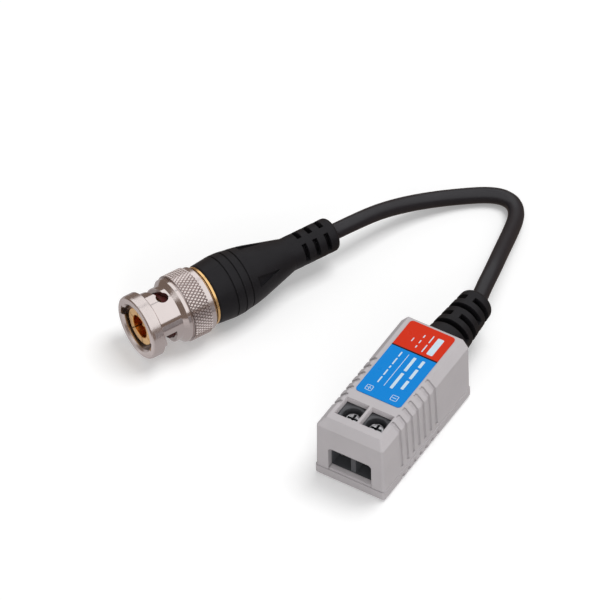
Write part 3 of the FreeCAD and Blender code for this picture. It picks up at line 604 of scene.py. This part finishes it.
# Each row's left and right edge, the radius of its corners, and where its bars start and end
print_rows = [
    (2.1, 3.5, 0.25, [(9.35, 14.3)]),
    (2.55, 3.2, 0.15, [(5.35, 7.35), (1.85, 4.75), (-1.4, 1.2)]),
    (0.55, 1.2, 0.15, [(3.2, 7.35), (-2.2, 2.5)]),
    (-0.75, -0.62, 0.05, [(-2.3, 7.5)]),
    (-2.4, -2.1, 0.08, [(6.0, 7.4), (3.6, 5.5), (2.4, 3.1), (0.2, 1.9), (-2.1, -0.3)]),
    (0.95, 1.2, 0.08, [(12.2, 14.3), (9.4, 11.6)]),
    (-0.75, -0.5, 0.08, [(12.9, 13.7), (11.2, 12.1), (9.8, 10.5)]),
    (-2.3, -2.1, 0.06, [(10.9, 12.0)]),
]
sign_x = 2.9
sign_y = -4.2
sign_half = 0.75
sign_line = 0.12
sign_corner = 0.03
stroke_half_length = 0.45
stroke_half_width = 0.07


def plate(points, faces, corners, low, high):
    """A thin upright prism over an outline, in millimetres."""
    first = len(points)
    count = len(corners)
    for height in (low, high):
        points.extend(Vector((x, y, height)) * MM for x, y in corners)
    faces.append(tuple(first + count + number for number in range(count)))
    faces.append(tuple(first + number for number in reversed(range(count))))
    for number in range(count):
        after = (number + 1) % count
        faces.append((first + number, first + after, first + count + after, first + count + number))


def bar_corners(x0, x1, y0, y1, radius):
    """A rectangle with round corners."""
    corners = []
    for quarter, (x, y) in enumerate((
        (x1 - radius, y1 - radius), (x0 + radius, y1 - radius),
        (x0 + radius, y0 + radius), (x1 - radius, y0 + radius),
    )):
        for step in range(corner_steps + 1):
            angle = math.radians(90 * quarter + 90 * step / corner_steps)
            corners.append((x + radius * math.cos(angle), y + radius * math.sin(angle)))
    return corners


def label_print():
    points = []
    faces = []

    def bar(x0, x1, y0, y1, radius):
        corners = bar_corners(x0, x1, y0, y1, radius)
        plate(points, faces, corners, label_top - print_sink, label_top + print_height)

    for left, right, radius, bars in print_rows:
        for start, end in bars:
            bar(left, right, start, end, radius)
    low = sign_y - sign_half
    high = sign_y + sign_half
    for side, plus in ((1, False), (-1, True)):
        middle_x = side * sign_x
        left = middle_x - sign_half
        right = middle_x + sign_half
        bar(left, right, high - sign_line, high, sign_corner)
        bar(left, right, low, low + sign_line, sign_corner)
        bar(left, left + sign_line, low, high, sign_corner)
        bar(right - sign_line, right, low, high, sign_corner)
        bar(
            middle_x - stroke_half_length, middle_x + stroke_half_length,
            sign_y - stroke_half_width, sign_y + stroke_half_width, sign_corner
        )
        if plus:
            bar(
                middle_x - stroke_half_width, middle_x + stroke_half_width,
                sign_y - stroke_half_length, sign_y + stroke_half_length, sign_corner
            )
    return mesh_piece("label_print", points, faces)


marks = label_print()
marks.data.materials.append(ink)
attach(marks, "balun")


# Floor, plain studio light and cards that give the bright metal something to reflect
white = (1, 1, 1, 1)
floor_colour = (0.88, 0.88, 0.88, 1)
floor_glow = 0.2
floor_size = 30.0
room_light = 0.45
backdrop_light = 1.0
floor_corners = [
    (x * floor_size, y * floor_size, 0) for x, y in ((-1, -1), (1, -1), (1, 1), (-1, 1))
]
floor = mesh_piece("floor", floor_corners, [(0, 1, 2, 3)])
floor_material = bpy.data.materials.new("floor")
floor_material.use_nodes = True
tree = floor_material.node_tree
tree.nodes.clear()
output = tree.nodes.new("ShaderNodeOutputMaterial")
matte = tree.nodes.new("ShaderNodeBsdfDiffuse")
matte.inputs["Color"].default_value = floor_colour
glow = tree.nodes.new("ShaderNodeEmission")
glow.inputs["Color"].default_value = white
total = tree.nodes.new("ShaderNodeAddShader")
tree.links.new(matte.outputs[0], total.inputs[0])
tree.links.new(glow.outputs[0], total.inputs[1])
tree.links.new(total.outputs[0], output.inputs["Surface"])


def seen_rays(tree):
    """1 for camera, glossy and transmission rays, 0 for the rays that light the object."""
    path = tree.nodes.new("ShaderNodeLightPath").outputs
    seen = combine(tree, "MAXIMUM", path["Is Camera Ray"], path["Is Glossy Ray"])
    return combine(tree, "MAXIMUM", seen, path["Is Transmission Ray"])


tree.links.new(combine(tree, "MULTIPLY", seen_rays(tree), floor_glow), glow.inputs["Strength"])
floor.data.materials.append(floor_material)

world = bpy.data.worlds.new("studio")
bpy.context.scene.world = world
world.use_nodes = True
tree = world.node_tree
tree.nodes.clear()
output = tree.nodes.new("ShaderNodeOutputWorld")
either = tree.nodes.new("ShaderNodeMixShader")
tree.links.new(seen_rays(tree), either.inputs[0])
for socket, strength in ((either.inputs[1], room_light), (either.inputs[2], backdrop_light)):
    background = tree.nodes.new("ShaderNodeBackground")
    background.inputs["Color"].default_value = white
    background.inputs["Strength"].default_value = strength
    tree.links.new(background.outputs[0], socket)
tree.links.new(either.outputs[0], output.inputs["Surface"])


part_middle = Vector((-0.025, 0.02, 0.0))


def lamp(name, location, size, power):
    """A square lamp that faces the middle of the part."""
    data = bpy.data.lights.new(name, "AREA")
    data.shape = "SQUARE"
    data.size = size
    data.energy = power
    light = link(name, data)
    light.location = location
    light.rotation_mode = "QUATERNION"
    light.rotation_quaternion = (part_middle - Vector(location)).to_track_quat("-Z", "Y")
    light.visible_glossy = False


lamp("key", location=(0.12, 0.28, 0.75), size=0.45, power=3.6)
lamp("fill", location=(0.5, -0.75, 0.34), size=0.5, power=2.2)


def card(name, corners, colour):
    """A matt card that only reflections see, as a studio sets beside bright metal."""
    piece = mesh_piece(name, corners, [tuple(range(len(corners)))])
    material = bpy.data.materials.new(name)
    material.use_nodes = True
    tree = material.node_tree
    tree.nodes.clear()
    output = tree.nodes.new("ShaderNodeOutputMaterial")
    tone = tree.nodes.new("ShaderNodeEmission")
    tone.inputs["Color"].default_value = (*colour, 1)
    tree.links.new(tone.outputs[0], output.inputs["Surface"])
    piece.data.materials.append(material)
    piece.visible_camera = False
    piece.visible_diffuse = False
    piece.visible_shadow = False
    piece.visible_transmission = False


# The dark gap between two lights, which draws a fine line along the top of the plug
gap_grey = (0.12, 0.12, 0.13)
gap_centre = Vector((-0.134, 0.323, 0.621))
gap_half_length = 0.4
gap_half_width = 0.015
gap_along = Vector((math.cos(plug_direction), math.sin(plug_direction), 0)) * gap_half_length
gap_across = gap_along.cross(gap_centre - plug_face).normalized() * gap_half_width
gap_corners = [
    gap_centre + along * gap_along + across * gap_across
    for along, across in ((-1, -1), (1, -1), (1, 1), (-1, 1))
]
card("gap_card", gap_corners, gap_grey)

# Low walls round the part, and rings of cards on the floor round the plug's face. The near ring is grey,
# painted shade for the shaded floor round the plug as the metal mirrors it, and brighter in front of the
# face.
card_brown = (0.20, 0.155, 0.13)
# Painted shade: the grey of the near ring, standing for the shaded floor round the plug
floor_shade_grey = (0.44, 0.42, 0.42)
card_height = 0.0001
front_gain = 0.4
near_radius = 0.044
apron_radius = 0.45
wall_radius = 0.5
wall_height = 0.21
wall_sides = 24


def round_point(centre, angle, radius):
    return centre + Vector((math.cos(angle), math.sin(angle), 0)) * radius


wall_foot = Vector((0, 0, 0))
wall_top = Vector((0, 0, wall_height))
below_face = Vector((plug_face.x, plug_face.y, card_height))
for number in range(wall_sides):
    first = 2 * math.pi * number / wall_sides
    second = 2 * math.pi * (number + 1) / wall_sides
    card("wall_card_%02d" % number, [
        round_point(wall_foot, first, wall_radius), round_point(wall_foot, second, wall_radius),
        round_point(wall_top, second, wall_radius), round_point(wall_top, first, wall_radius),
    ], card_brown)
    card("apron_card_%02d" % number, [
        round_point(below_face, first, near_radius), round_point(below_face, first, apron_radius),
        round_point(below_face, second, apron_radius), round_point(below_face, second, near_radius),
    ], card_brown)
    ahead = max(0, -math.cos((first + second) / 2 - plug_direction))
    card("near_card_%02d" % number, [
        below_face, round_point(below_face, first, near_radius),
        round_point(below_face, second, near_radius),
    ], tuple(channel * (1 + front_gain * ahead) for channel in floor_shade_grey))

bpy.context.scene.view_settings.view_transform = "Standard"
